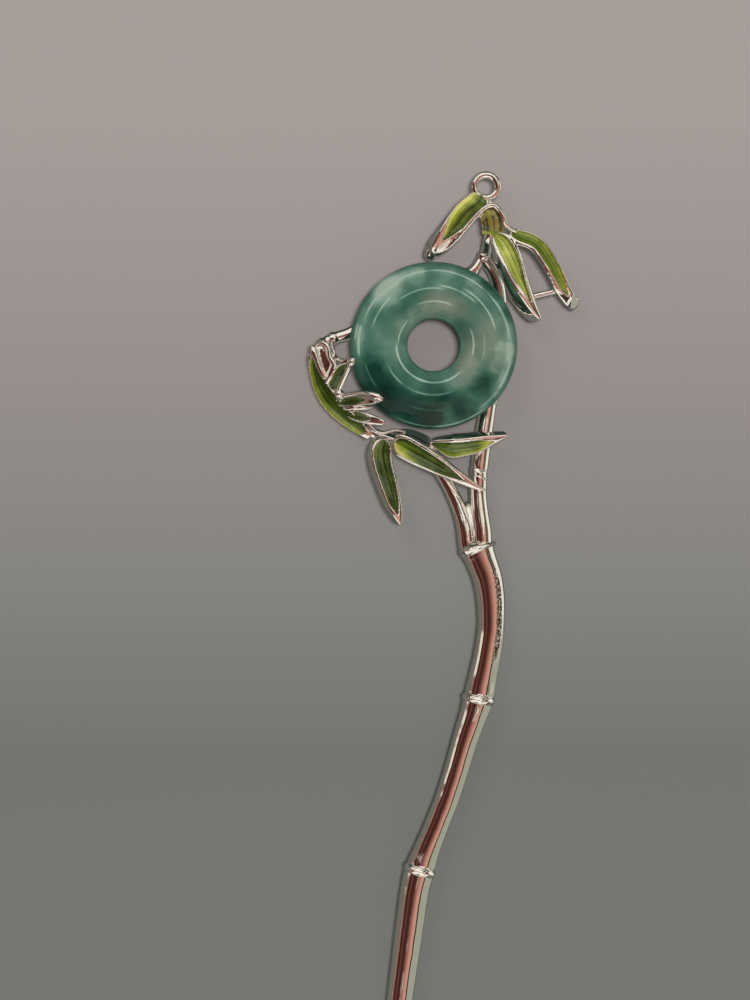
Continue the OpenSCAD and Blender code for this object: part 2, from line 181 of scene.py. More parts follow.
# columns of a cane: x, y, z, radius and, where it isn't round, its width over its height
# rings: place in rows, rise in mm, tilt in degrees
def caneSections(rows, steps, rings=()):
    end = len(rows) - 1
    places = [end * k / steps for k in range(steps + 1)]
    for at, rise, tilt in rings:
        fine = nodeShape["steps"]
        near = [at + nodeShape["reach"] * j / fine for j in range(-fine, fine + 1)]
        places = [place for place in places if not near[0] < place < near[-1]] + near
    places.sort()
    table = [row if len(row) > 4 else row + [1] for row in rows]
    fineRows = [between(table, place) for place in places]
    points = [spot(*row[:3]) for row in fineRows]
    along = lengths(points)
    sections = []
    for k, row in enumerate(fineRows):
        radius, lean = row[3], 0.0
        axes = sectionAxes(points, k)
        downwards = -1 if axes.col[2].y < 0 else 1
        for at, rise, tilt in rings:
            off = along[k] - along[places.index(at)]
            radius += rise * nodeSwell(off * downwards)
            lean += tilt * math.exp(-((off / nodeShape["lean"]) ** 2))
        axes = Matrix.Rotation(math.radians(lean), 3, "Z") @ axes
        sections.append((points[k], axes, radius * row[4] * mm, radius * mm))
    return sections


print("bamboo stick")

stick = {
    "sides": 40,
    "steps": 240,
    "rows": [
        [7.35, -32.6, 2.90, 1.50, 1.2],
        [7.35, -33.3, 2.90, 2.30, 1.2],
        [7.5, -34.4, 2.90, 2.38, 1.16],
        [8.0, -35.8, 2.90, 2.34, 1.12],
        [9.05, -38.8, 2.88, 2.33, 1.09],
        [9.6, -42.4, 2.86, 2.32, 1.05],
        [9.7, -46.6, 2.84, 2.30],
        [9.2, -50.8, 2.82, 2.32],
        [8.4, -54.9, 2.80, 2.38],
        [7.5, -59.1, 2.80, 2.50],
        [6.7, -61.8, 2.78, 2.34],
        [5.4, -65.7, 2.76, 2.18],
        [3.9, -70.8, 2.74, 2.08],
        [2.3, -75.8, 2.72, 2.04],
        [0.5, -80.4, 2.70, 2.05],
        [-1.1, -84.4, 2.70, 2.20],
        [-2.3, -87.8, 2.72, 2.44],
        [-3.1, -91.0, 2.72, 2.44],
        [-3.8, -95.8, 2.72, 2.40],
        [-4.7, -102.4, 2.72, 2.30],
        [-5.6, -109.1, 2.70, 2.18],
        [-6.8, -119.0, 2.65, 1.95],
        [-7.9, -129.0, 2.60, 1.62],
        [-8.9, -139.0, 2.50, 1.22],
        [-9.6, -146.0, 2.40, 0.82],
        [-9.85, -148.3, 2.38, 0.50],
        [-9.9, -148.7, 2.38, 0.16],
    ],
    "rings": [(1.5, 0.34, 8), (9.0, 0.30, 3), (16.0, 0.30, 0)],
}

stickSections = caneSections(stick["rows"], stick["steps"], stick["rings"])
bambooStick = sweep("bambooStick", stickSections, stick["sides"])

# a rough line along the stick's right side, below the first node, where dark specks are painted into
# the plating as a painted dark reflection
seam = {
    "start": -37.0,  # where it runs along the stick, and over what length it fades at its ends
    "end": -53.5,
    "fade": 3.0,
    "middle": 2.85,  # height of the stick's middle line, and its radius
    "radius": 2.2,
    "rise": 0.82,  # how far up the side the line runs, and its half width, as shares of the radius
    "width": 0.09,
}


def markSpeckLine(thing):
    mark = thing.data.attributes.new("seam", "FLOAT", "POINT")
    levels = [spot(0, seam[end], 0).y for end in ("start", "end")]
    middle = spot(0, 0, seam["middle"]).z
    for vertex in thing.data.vertices:
        inside = min(levels[0] - vertex.co.y, vertex.co.y - levels[1]) / (seam["fade"] * mm)
        share = (vertex.co.z - middle) / (seam["radius"] * mm)
        near = 1 - abs(share - seam["rise"]) / (2 * seam["width"])
        right = vertex.normal.x > 0
        mark.data[vertex.index].value = max(0, min(1, inside)) * max(0, near) * right


markSpeckLine(bambooStick)

print("canes of the hoop")

hoop = {
    "sides": 24,
    "right": [
        [8.2, -34.2, 2.95, 1.70],
        [8.1, -31.0, 2.85, 1.66],
        [7.7, -27.5, 2.60, 1.55],
        [7.5, -24.5, 2.40, 1.46],
        [7.6, -21.8, 2.30, 1.52],
        [7.9, -19.0, 2.20, 1.50],
        [8.3, -16.0, 2.00, 1.48],
        [8.8, -12.6, 1.80, 1.45],
        [9.4, -9.0, 1.58, 1.30],
        [10.0, -4.5, 1.20, 1.20],
        [10.6, 0.0, 1.20, 1.20],
        [11.1, 4.5, 1.20, 1.20],
        [11.2, 8.6, 1.20, 1.15],
        [10.4, 12.0, 1.35, 1.10],
        [8.7, 14.7, 1.80, 1.00],
    ],
    "left": [
        [7.2, -36.4, 2.90, 1.10],
        [5.8, -33.8, 2.95, 1.55],
        [5.3, -30.5, 2.85, 1.48],
        [4.4, -27.5, 2.60, 1.32],
        [3.0, -24.3, 2.40, 1.20],
        [1.2, -21.2, 2.30, 1.15],
        [-1.2, -18.4, 2.20, 1.10],
        [-4.2, -16.4, 2.00, 1.05],
        [-7.4, -15.5, 1.80, 1.00],
        [-10.4, -14.4, 1.60, 1.00],
        [-13.3, -12.0, 1.30, 1.00],
        [-16.0, -9.0, 1.00, 0.95],
        [-17.9, -5.6, 1.10, 1.00],
        [-18.7, -2.4, 1.50, 0.95],
        [-18.9, 0.1, 1.90, 1.05],
    ],
    "arch": [
        [-18.9, 0.1, 1.90, 1.00],
        [-16.8, 1.3, 1.60, 1.00],
        [-14.1, 2.2, 1.35, 1.05],
        [-11.2, 3.9, 1.20, 1.10],
        [-8.0, 6.4, 1.20, 1.15],
        [-4.0, 8.7, 1.20, 1.18],
        [0.4, 10.1, 1.20, 1.18],
        [4.4, 11.4, 1.20, 1.12],
        [7.0, 13.0, 1.30, 1.05],
        [8.3, 14.9, 1.30, 1.00],
        [8.8, 15.7, 1.40, 0.92],
        [9.0, 16.8, 2.50, 0.90],
        [9.2, 18.0, 3.60, 0.90],
        [9.5, 19.4, 3.60, 1.00],
        [9.8, 22.4, 3.70, 1.20],
    ],
}


def cane(name, rows, steps, rings=()):
    return sweep(name, caneSections(rows, steps, rings), hoop["sides"])


canes = {
    "right": cane("rightBranch", hoop["right"], 110, [(4.15, 0.13, -24), (8.0, 0.22, 0)]),
    "left": cane("leftBranch", hoop["left"], 90),
    "arch": cane("upperArch", hoop["arch"], 90, [(1.0, 0.18, 0), (9.3, 0.22, 0)]),
}

print("leaf trays")

# columns: x, y, z of the face's middle, half width, thickness, roll
leafRows = {
    "topLeft": [
        [8.35, 25.1, 4.75, 1.70, 1.4, 3],
        [8.15, 24.7, 4.85, 2.28, 1.5, 4],
        [7.2, 23.5, 5.4, 2.10, 1.7, 5],
        [5.5, 22.2, 5.6, 2.04, 2.0, 8],
        [4.0, 20.3, 5.6, 1.98, 2.3, 14],
        [2.5, 18.3, 5.5, 1.80, 2.7, 23],
        [1.1, 16.5, 5.3, 1.45, 3.2, 28],
        [0.0, 15.1, 5.1, 1.00, 3.3, 32],
    ],
    "topKnot": [
        [8.7, 23.2, 4.9, 0.90, 2.0, 0],
        [9.2, 22.3, 5.2, 1.50, 2.2, 0],
        [9.7, 21.0, 5.3, 1.85, 2.4, 0],
        [9.9, 19.8, 5.1, 1.85, 2.4, 0],
        [9.9, 18.9, 4.8, 1.80, 2.2, 0],
        [9.9, 18.4, 4.6, 1.60, 2.0, 0],
    ],
    "topMiddle": [
        [10.4, 18.7, 5.0, 1.30, 2.0, 10],
        [11.8, 16.75, 5.8, 1.95, 2.6, 18],
        [13.0, 14.25, 6.3, 2.08, 3.0, 24],
        [14.0, 11.65, 6.5, 1.78, 3.2, 26],
        [15.2, 9.0, 6.5, 1.42, 3.7, 28],
        [16.3, 6.75, 6.3, 0.98, 3.7, 28],
        [17.2, 5.2, 6.0, 0.65, 3.2, 28],
        [17.8, 4.3, 5.8, 0.32, 2.6, 26],
    ],
    "topRight": [
        [12.7, 18.9, 4.8, 0.95, 1.6, 0],
        [14.35, 18.1, 5.3, 1.32, 1.8, 8],
        [16.5, 17.3, 5.5, 1.42, 2.0, 12],
        [18.0, 15.95, 5.6, 1.38, 2.0, 14],
        [19.5, 13.65, 5.6, 1.36, 2.0, 14],
        [20.6, 11.65, 5.4, 1.36, 2.0, 12],
        [21.5, 9.6, 5.1, 1.32, 2.0, 8],
        [22.4, 8.2, 4.5, 1.18, 2.0, 0],
        [23.0, 7.5, 3.9, 1.15, 2.0, 0],
        [23.7, 7.0, 2.7, 1.15, 1.6, 0],
        [24.15, 6.65, 1.3, 1.05, 1.2, 0],
    ],
    "sideOuter": [
        [-10.6, -15.4, 4.2, 0.60, 1.8, 5],
        [-11.6, -14.4, 4.4, 0.85, 2.0, 8],
        [-13.2, -13.1, 4.4, 1.20, 2.2, 12],
        [-15.2, -11.4, 4.3, 1.50, 2.4, 18],
        [-17.2, -9.4, 4.2, 1.60, 2.4, 22],
        [-18.7, -7.1, 4.2, 1.45, 2.3, 24],
        [-19.5, -4.8, 4.4, 1.25, 2.2, 24],
        [-20.0, -2.6, 4.6, 1.10, 2.0, 20],
        [-20.2, -0.9, 4.7, 0.80, 1.8, 15],
    ],
    "sideUpper": [
        [-17.1, -7.6, 4.4, 0.70, 1.8, 0],
        [-16.3, -5.9, 5.2, 1.00, 1.7, 0],
        [-15.3, -4.2, 6.2, 1.10, 1.4, 0],
        [-14.2, -3.1, 7.1, 0.85, 1.0, 0],
        [-13.1, -2.5, 7.7, 0.55, 0.8, 0],
    ],
    "sideMiddle": [
        [-16.3, -9.4, 4.5, 0.70, 1.8, 0],
        [-14.4, -9.3, 5.4, 0.95, 1.7, 0],
        [-12.3, -9.1, 6.6, 1.00, 1.4, 0],
        [-10.3, -8.9, 7.8, 1.00, 1.1, 0],
        [-8.5, -8.8, 8.5, 0.60, 0.9, 0],
    ],
    "sideLower": [
        [-14.4, -11.3, 4.4, 0.60, 1.8, 0],
        [-12.9, -11.7, 4.8, 0.90, 1.8, 0],
        [-11.3, -12.1, 5.0, 0.95, 1.7, 0],
        [-9.6, -12.5, 5.1, 0.75, 1.4, 0],
        [-8.1, -12.9, 5.1, 0.45, 1.0, 0],
    ],
    "bottomLeft": [
        [-7.8, -15.5, 4.7, 1.25, 2.2, 24],
        [-8.5, -17.6, 4.9, 1.95, 2.6, 24],
        [-8.3, -19.9, 5.1, 1.88, 2.8, 24],
        [-7.5, -22.7, 5.4, 1.72, 2.8, 23],
        [-6.7, -25.6, 5.7, 1.40, 2.8, 22],
        [-6.0, -27.9, 5.8, 0.95, 2.6, 20],
        [-5.65, -29.2, 5.75, 0.50, 2.2, 18],
        [-5.5, -29.9, 5.7, 0.20, 1.8, 15],
    ],
    "bottomMiddle": [
        [-6.9, -16.0, 5.4, 1.30, 2.4, -14],
        [-5.4, -16.7, 5.9, 1.90, 2.4, -14],
        [-3.0, -18.05, 6.2, 1.92, 2.4, -14],
        [-0.9, -19.2, 6.3, 1.75, 2.4, -14],
        [1.2, -20.4, 6.2, 1.48, 2.4, -13],
        [3.5, -21.7, 6.0, 1.10, 2.2, -12],
        [5.8, -22.9, 5.7, 0.72, 2.0, -6],
        [7.7, -23.8, 5.4, 0.38, 1.8, -4],
        [8.7, -24.2, 5.2, 0.15, 1.4, 0],
    ],
    "bottomRight": [
        [-0.6, -16.1, 5.2, 0.30, 2.0, -22],
        [0.9, -16.6, 5.6, 1.05, 2.4, -26],
        [2.9, -17.2, 5.9, 1.75, 2.6, -28],
        [4.8, -17.05, 6.0, 1.66, 2.6, -28],
        [6.9, -16.7, 5.9, 1.52, 2.6, -28],
        [8.8, -16.2, 5.7, 1.22, 2.4, -28],
        [10.6, -15.6, 5.4, 0.72, 2.2, -26],
        [12.4, -15.0, 5.2, 0.20, 1.8, -24],
    ],
}

# rims: bare metal left and right of the enamel, seen along the leaf; skirt: how far the foot of the
# left and right side stands out, as a share of the width; first, last: share of the leaf where the
# enamel starts and ends; point: share of the enamel where it starts to taper; ridge: its height
lookColumns = ("rims", "skirt", "first", "last", "point", "ridge")
lookRows = {
    "topLeft": [(0.62, 0.04), (0, 0.12), 0.0, 0.79, 0.55, 0.5],
    "topKnot": [(0.0, 0.0), (0, 0), 0.04, 0.99, 0.95, 0.6],
    "topMiddle": [(0.66, 0.56), (0, 0.3), 0.0, 0.74, 0.45, 0.45],
    "topRight": [(0.2, 0.62), (0, 0), 0.024, 0.71, 0.66, 0.35],
    "sideOuter": [(0.0, 0.16), (0, 0), 0.12, 0.95, 0.82, 0.4],
    "sideUpper": [(0.2, 0.34), (0, 0), 0.06, 0.72, 0.6, 0.18],
    "sideMiddle": [(0.5, 0.26), (0, 0), 0.0, 0.62, 0.6, 0.18],
    "sideLower": [(0.24, 0.2), (0, 0), 0.05, 0.62, 0.5, 0.18],
    "bottomLeft": [(0.52, 0.3), (0, 0.3), 0.03, 0.75, 0.8, 0.35],
    "bottomMiddle": [(0.42, 0.42), (0.15, 0), 0.05, 0.71, 0.72, 0.4],
    "bottomRight": [(0.5, 0.14), (0.35, 0), 0.04, 0.82, 0.72, 0.35],
}
leafLook = {name: dict(zip(lookColumns, row)) for name, row in lookRows.items()}

# steps along a leaf and sides of its section; a strip is a bare piece with no enamel
leafMesh = {"tray": (44, 24), "pocket": (36, 12), "enamel": (60, 32), "strip": (30, 24)}

leafShape = {
    "crowd": 0.6,  # how much closer the steps lie near a leaf's ends
    "thin": 0.06,  # least half width there
    "low": 0.6,  # least share of the height there
    "crown": 0.1,  # the tray's section: its top, as a share of the thickness
    "belly": 0.8,  # how round it is below
    "sides": 0.55,  # how steep its sides are
    "play": 0.05,  # room round the enamel in its pocket
    "draft": 0.9,  # width of the pocket's floor, as a share
    "floor": -0.25,
}
enamelLook = {
    "thin": 0.05,  # least half width
    "sink": 0.2,  # how far it lies under the tray's top
    "base": 0.8,  # length of its rounded end, as a share of its half width
    "taper": 1.7,  # how full its point is
    "edge": 0.12,  # its section: the height at its edge, as a share of the ridge
    "roof": 0.9,  # how round the roof is
    "floor": -0.6,
    "smooth": 40,  # degrees between faces that are shaded as one
}


def leafSections(rows, steps):
    fine = smoothRows(rows, steps, gather=leafShape["crowd"])
    points = [spot(*row[:3]) for row in fine]
    along = lengths(points)
    sections = []
    for k, row in enumerate(fine):
        ends = roundedEnd(along[k], rows[0][3]) * roundedEnd(along[-1] - along[k], rows[-1][3])
        width = max(row[3] * ends, leafShape["thin"])
        height = row[4] * max(ends, leafShape["low"])
        sections.append((points[k], sectionAxes(points, k, row[5]), width * mm, height * mm))
    return sections


# the enamel's outline inside the rims: round at the base and pointed at the tip; the pocket for it
# has the same outline, a little wider
def enamelSections(name, steps, wider=0.0, heights=None):
    rows, look = leafRows[name], leafLook[name]
    leftRim, rightRim = look["rims"]
    fine = smoothRows(rows, steps, look["first"], look["last"], leafShape["crowd"])
    points = [spot(*row[:3]) for row in fine]
    along = lengths(points)
    sections = []
    for k, row in enumerate(fine):
        share = along[k] / along[-1]
        base = roundedEnd(along[k], enamelLook["base"] * row[3])
        point = 1 - max(0, (share - look["point"]) / (1 - look["point"])) ** enamelLook["taper"]
        width = (row[3] - (leftRim + rightRim) / 2) * base * point + wider
        axes = sectionAxes(points, k, row[5])
        centre = points[k] + axes.col[0] * (leftRim - rightRim) / 2 * mm
        centre -= axes.col[1] * enamelLook["sink"] * mm
        height = heights(share) if heights else 1
        sections.append((centre, axes, max(width, enamelLook["thin"]) * mm, height * mm))
    return sections


# a boat: a low crown on top, steep sides and a soft bottom
def trayShape(skirt):
    def shape(x, y):
        if y > 0:
            return (x, leafShape["crown"] * y)
        depth = abs(y) ** leafShape["belly"]
        spread = 1 + depth * skirt[x > 0]
        return (math.copysign(abs(x) ** leafShape["sides"], x) * spread, -depth)

    return shape


# a low roof over a flat floor
def enamelShape(x, y):
    if y < -0.01:
        return (x, enamelLook["floor"])
    edge = enamelLook["edge"]
    return (x, edge + (1 - edge) * (1 - abs(x)) ** enamelLook["roof"])


# a straight-sided plug from above the leaf down to the pocket's floor
def pocketShape(x, y):
    return (x, 1.0) if y > 0 else (leafShape["draft"] * x, leafShape["floor"])


def leafTray(name):
    steps, sides = leafMesh["tray"]
    shape = trayShape(leafLook[name]["skirt"])
    tray = sweep(name + "Tray", leafSections(leafRows[name], steps), sides, shape)
    steps, sides = leafMesh["pocket"]
    pocket = sweep("pocket", enamelSections(name, steps, wider=leafShape["play"]), sides, pocketShape)
    applyModifier(tray, "BOOLEAN", operation="DIFFERENCE", solver="EXACT", use_self=True, object=pocket)
    bpy.data.objects.remove(pocket)
    return tray


def leafEnamel(name):
    ridge = leafLook[name]["ridge"]
    steps, sides = leafMesh["enamel"]

    # the ridge rises from a low start at the base and falls again to the tip
    def swell(share):
        return ridge * min(1, 5 * share + 0.3, 4 * (1 - share) + 0.15)

    sections = enamelSections(name, steps, heights=swell)
    enamel = sweep(name + "Enamel", sections, sides, enamelShape)
    mapEnamel(enamel, name, sections, sides)
    return enamel


# how light the enamel is painted, from 0 dark olive to 1 yellow, partly its own tone and partly painted
# light: one side of the fold painted lighter than the other, and painted highlights; at its left edge,
# on the fold, at its right edge, and how much it gains towards the base and the tip
leafTonesAndLight = {
    "topLeft": (0.30, 0.27, 1.45, 0.30, 0.0),
    "topKnot": (0.46, 0.62, 0.50, 0.0, 1.3),
    "topMiddle": (0.52, 0.84, 0.74, -0.1, 0.15),
    "topRight": (0.66, 0.46, 0.44, 0.0, 0.35),
    "sideOuter": (0.84, 0.24, 0.12, 0.0, 0.0),
    "sideUpper": (0.42, 0.10, 0.34, 0.0, 0.1),
    "sideMiddle": (0.32, 0.08, 0.26, 0.1, 0.0),
    "sideLower": (0.38, 0.10, 0.38, 0.1, 0.0),
    "bottomLeft": (0.28, 0.18, 0.34, 0.25, 0.05),
    "bottomMiddle": (0.20, 0.18, 0.30, 1.7, 0.0),
    "bottomRight": (0.22, 0.38, 0.74, -0.25, 1.0),
}

# where along the leaf the base's gain has faded and the tip's starts, and the base's gain on the fold
# and how much more of it there is at the right edge
toneReach = {"base": 0.42, "tip": 0.65, "fold": 0.4, "right": 0.7}


# the enamel's own map, across and along the leaf from 0 to 1, and its tone with painted light: lighter
# and darker sides of the fold and painted highlights
def mapEnamel(piece, name, sections, sides):
    left, fold, right, base, tip = leafTonesAndLight[name]
    baseEnd, tipStart = toneReach["base"], toneReach["tip"]
    chart = piece.data.uv_layers.new(name="leafMap")
    toneAndLight = piece.data.attributes.new("leafToneAndLight", "FLOAT", "CORNER")
    for loop in piece.data.loops:
        ring = loop.vertex_index // sides
        centre, axes, width, height = sections[ring]
        across = (piece.data.vertices[loop.vertex_index].co - centre).dot(axes.col[0]) / width
        along = ring / (len(sections) - 1)
        chart.data[loop.index].uv = (0.5 + 0.5 * across, along)
        edge = right if across > 0 else left
        lit = max(0, toneReach["fold"] + toneReach["right"] * across)
        baseShare = max(0, 1 - along / baseEnd) * lit
        tipShare = max(0, (along - tipStart) / (1 - tipStart))
        gain = base * baseShare + tip * tipShare
        toneAndLight.data[loop.index].value = fold + (edge - fold) * abs(across) + gain


trays = {name: leafTray(name) for name in leafRows}

print("twigs and knobs")

# columns: x, y, z and radius
twigs = {
    "curl": [[0.7, 15.3, 4.6, 0.36], [2.2, 16.2, 4.75, 0.42], [3.8, 17.7, 5.0, 0.45],
             [5.3, 19.5, 5.25, 0.46], [6.9, 21.3, 5.45, 0.45], [8.4, 22.8, 5.6, 0.44],
             [9.8, 23.3, 5.7, 0.44], [10.9, 22.6, 5.7, 0.44], [11.6, 21.3, 5.6, 0.43],
             [12.0, 20.2, 5.4, 0.40], [12.9, 19.4, 5.2, 0.36], [14.0, 18.9, 5.1, 0.25]],
    "tieBar": [[16.2, 8.1, 4.4, 0.55], [20.4, 9.1, 4.2, 0.52]],
    "outerRim": [[-20.3, 0.0, 4.6, 0.45], [-20.0, -0.9, 4.9, 0.70], [-19.5, -2.2, 5.1, 0.56],
                 [-18.9, -3.9, 5.3, 0.52], [-18.1, -5.6, 5.3, 0.38]],
    "kneeRim": [[-19.6, 0.0, 4.1, 0.30], [-18.6, 0.5, 4.6, 0.45], [-17.6, -0.2, 5.0, 0.45],
                [-17.3, -1.8, 5.2, 0.42], [-16.6, -3.2, 5.3, 0.55], [-17.2, -5.0, 5.2, 0.62],
                [-17.9, -6.4, 5.0, 0.35]],
    "drop": [[-17.0, 0.8, 2.6, 0.42], [-16.7, -0.7, 3.8, 0.36], [-16.2, -2.0, 4.8, 0.34],
             [-14.9, -2.6, 6.4, 0.34], [-14.0, -2.7, 7.1, 0.36]],
    "upperWire": [[-15.9, -7.6, 4.9, 0.50], [-14.9, -5.6, 5.9, 0.42], [-14.1, -3.9, 6.9, 0.46],
                  [-13.6, -2.9, 7.5, 0.66], [-13.2, -2.2, 7.6, 0.30]],
    "middleWire": [[-15.0, -8.4, 5.3, 0.46], [-12.7, -8.1, 6.7, 0.42], [-10.9, -8.2, 7.8, 0.55],
                   [-9.4, -8.7, 8.35, 0.74], [-8.4, -9.2, 8.5, 0.34]],
    "bareLeaf": [[-15.1, -10.6, 4.9, 0.22], [-13.5, -10.45, 5.4, 0.50], [-11.5, -10.4, 5.5, 0.42],
                 [-10.2, -10.3, 5.5, 0.18]],
    "heel": [[2.2, 18.8, 3.9, 0.90], [0.8, 17.2, 3.7, 1.15], [-0.2, 16.0, 3.4, 1.25],
             [-0.5, 15.5, 3.2, 1.15]],
    "web": [[5.75, -26.0, 2.2, 0.15], [5.8, -26.4, 2.3, 0.50], [6.0, -27.6, 2.5, 0.85],
            [6.3, -29.5, 2.7, 1.15], [6.6, -32.0, 2.8, 1.45]],
    "tendril": [[-10.9, -13.1, 4.4, 0.34], [-9.7, -14.3, 4.5, 0.34], [-8.3, -14.6, 4.5, 0.28],
                [-6.4, -14.1, 4.3, 0.24], [-4.6, -14.3, 4.0, 0.18]],
}
twigMesh = {"steps": 6, "sides": 14}  # steps between two rows

# columns: x, y, z and radius of a ball
knobs = {
    "top": [[8.9, 23.8, 3.7, 1.0], [-0.5, 15.4, 3.2, 1.15]],
    "side": [[-15.7, -8.1, 4.8, 0.92], [-18.6, 0.4, 2.6, 1.05]],
}

# bare strips of metal, with columns as a leaf's: the thick back edge that shows above the middle
# bottom leaf, and the floor between the two wires above the outer side leaf
backWall = [
    [-6.4, -14.6, 3.8, 0.6, 1.2, 50],
    [-4.8, -14.7, 3.9, 1.6, 1.2, 52],
    [-2.7, -15.3, 4.1, 1.8, 1.2, 53],
    [-0.8, -16.1, 4.2, 1.5, 1.2, 54],
    [0.8, -17.2, 4.3, 0.6, 1.0, 55],
]
troughFloor = [
    [-19.0, 0.2, 4.4, 1.0, 1.8, -13],
    [-18.6, -1.4, 4.75, 1.5, 1.8, -14],
    [-18.0, -3.2, 4.95, 1.3, 1.8, -14],
    [-17.4, -4.9, 5.0, 0.8, 1.8, -14],
]


def twig(name):
    rows = twigs[name]
    return sweep(name, caneSections(rows, twigMesh["steps"] * (len(rows) - 1)), twigMesh["sides"])


def strip(name, rows):
    steps, sides = leafMesh["strip"]
    return sweep(name, leafSections(rows, steps), sides, trayShape((0, 0)))


def knob(row):
    clearSelection()
    bpy.ops.mesh.primitive_ico_sphere_add(subdivisions=4, radius=row[3] * mm, location=spot(*row[:3]))
    bpy.ops.object.transform_apply(location=True, rotation=True, scale=True)
    return bpy.context.object


def joinPieces(name, parts):
    clearSelection()
    for part in parts:
        part.select_set(True)
    bpy.context.view_layer.objects.active = parts[0]
    bpy.ops.object.join()
    bpy.context.object.name = name
    return bpy.context.object


def traysOf(place):
    return [tray for name, tray in trays.items() if name.startswith(place)]


# the grid that each casting is fused on, in millimetres, and how the result is smoothed
castGrids = {"topLeaves": 0.115, "sideLeaves": 0.104, "bottomLeaves": 0.11}
smoothing = {"factor": 0.5, "iterations": 5}


# pieces that are cast in one are joined, fused on a fine grid and smoothed, which rounds their corners
def cast(name, parts):
    casting = joinPieces(name, parts)
    applyModifier(casting, "REMESH", mode="VOXEL", voxel_size=castGrids[name] * mm)
    applyModifier(casting, "SMOOTH", **smoothing)
    bpy.ops.object.shade_smooth()
    print("  ", name, len(casting.data.polygons), "faces")
    return casting


topCluster = cast(
    "topLeaves",
    traysOf("top")
    + [canes["arch"]]
    + [twig(name) for name in ("curl", "tieBar", "heel")]
    + [knob(row) for row in knobs["top"]],
)
sideCluster = cast(
    "sideLeaves",
    traysOf("side")
    + [canes["left"]]
    + [twig(name) for name in ("outerRim", "kneeRim", "drop", "upperWire", "middleWire", "bareLeaf")]
    + [strip("troughFloor", troughFloor)]
    + [knob(row) for row in knobs["side"]],
)
bottomCluster = cast(
    "bottomLeaves", traysOf("bottom") + [twig("tendril"), strip("backWall", backWall)]
)

rightFork = joinPieces("rightFork", [canes["right"], twig("web")])
bpy.ops.object.shade_smooth()

print("enamel")

enamels = {name: leafEnamel(name) for name in leafRows}
for enamel in enamels.values():
    pick(enamel)
    bpy.ops.object.shade_smooth_by_angle(angle=math.radians(enamelLook["smooth"]))

pick(bambooStick)
bpy.ops.object.shade_smooth()

print("hanging loop")


# the outline of a turned piece is spun about an upright axis and sewn where it meets itself
def spinRound(thing, centre, steps):
    bpy.ops.object.mode_set(mode="EDIT")
    bpy.ops.mesh.select_all(action="SELECT")
    turn = 2 * math.pi
    bpy.ops.mesh.spin(steps=steps, angle=turn, center=centre, axis=(0, 0, 1), use_auto_merge=True)
    bpy.ops.mesh.select_all(action="SELECT")
    bpy.ops.mesh.remove_doubles(threshold=0.001 * mm)
    bpy.ops.mesh.normals_make_consistent(inside=False)
    bpy.ops.object.mode_set(mode="OBJECT")


# the ring's middle line and wire, in millimetres
loop = {"reach": 1.94, "wire": 0.64, "sides": 20, "steps": 64}
loopLow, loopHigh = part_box("hanging_loop")
loopMiddle = (loopLow + loopHigh) / 2


def makeLoop():
    clearSelection()
    start = loopMiddle + Vector((loop["reach"] * mm, 0, 0))
    upright = (math.pi / 2, 0, 0)
    bpy.ops.mesh.primitive_circle_add(
        vertices=loop["sides"], radius=loop["wire"] * mm, location=start, rotation=upright
    )
    bpy.ops.object.transform_apply(location=True, rotation=True, scale=True)
    thing = bpy.context.object
    thing.name = "hangingLoop"
    spinRound(thing, loopMiddle, loop["steps"])
    bpy.ops.object.shade_smooth()
    return thing


hangingLoop = makeLoop()

print("jade disc")

# half of the disc's section, from the middle of the hole's wall over the front to the edge:
# radius, and height above the disc's middle
disc = {
    "half": [
        [4.34, 0.9],
        [5.0, 1.55],
        [6.15, 2.2],
        [8.3, 2.72],
        [9.3, 2.78],
        [12.0, 2.12],
        [13.3, 1.15],
        [13.95, 0.35],
    ],
    "steps": 120,
    "corner": {"width": 0.28 * mm, "segments": 4, "angle_limit": math.radians(6)},
}


def makeDisc():
    section = disc["half"] + [[r, -z] for r, z in reversed(disc["half"])]
    clearSelection()
    bpy.ops.mesh.primitive_circle_add(vertices=len(section), radius=1, location=(0, 0, 0))
    thing = bpy.context.object
    thing.name = "jadeDisc"
    for vertex, (r, z) in zip(thing.data.vertices, section):
        vertex.co = discMiddle + Vector((r, 0, z)) * mm
    spinRound(thing, discMiddle, disc["steps"])
    applyModifier(thing, "BEVEL", limit_method="ANGLE", **disc["corner"])
    bpy.ops.object.shade_smooth()
    return thing


jadeDisc = makeDisc()

print("materials")


def setSockets(node, sockets):
    for name, value in sockets.items():
        node.inputs[name.replace("_", " ")].default_value = value


def newMaterial(name, **sockets):
    material = bpy.data.materials.new(name)
    material.use_nodes = True
    nodes = material.node_tree.nodes
    shader = nodes["Principled BSDF"]
    setSockets(shader, sockets)
    return material, nodes, material.node_tree.links, shader


def addNode(nodes, kind, **sockets):
    node = nodes.new("ShaderNode" + kind)
    setSockets(node, sockets)
    return node


def addRamp(nodes, stops):
    node = nodes.new("ShaderNodeValToRGB")
    ramp = node.color_ramp
    while len(ramp.elements) < len(stops):
        ramp.elements.new(1)
    for element, (place, colour) in zip(ramp.elements, stops):
        element.position = place
        element.color = (*colour, 1)
    return node


# each socket in turn is linked to its value, or set to it
def fill(links, sockets, values):
    for socket, value in zip(sockets, values):
        if isinstance(value, bpy.types.NodeSocket):
            links.new(value, socket)
        elif value is not None:
            socket.default_value = value


def addMath(nodes, links, operation, first, second=None):
    node = nodes.new("ShaderNodeMath")
    node.operation = operation
    fill(links, node.inputs, (first, second))
    return node.outputs[0]


def addVector(nodes, links, operation, *values):
    node = nodes.new("ShaderNodeVectorMath")
    node.operation = operation
    fill(links, node.inputs, values)
    return node.outputs


def addNoise(nodes, links, place, **sockets):
    noise = addNode(nodes, "TexNoise", **sockets)
    links.new(place, noise.inputs["Vector"])
    return noise.outputs


def addBump(nodes, links, height, normal=None, **sockets):
    bump = addNode(nodes, "Bump", **sockets)
    fill(links, (bump.inputs["Height"], bump.inputs["Normal"]), (height, normal))
    return bump.outputs["Normal"]


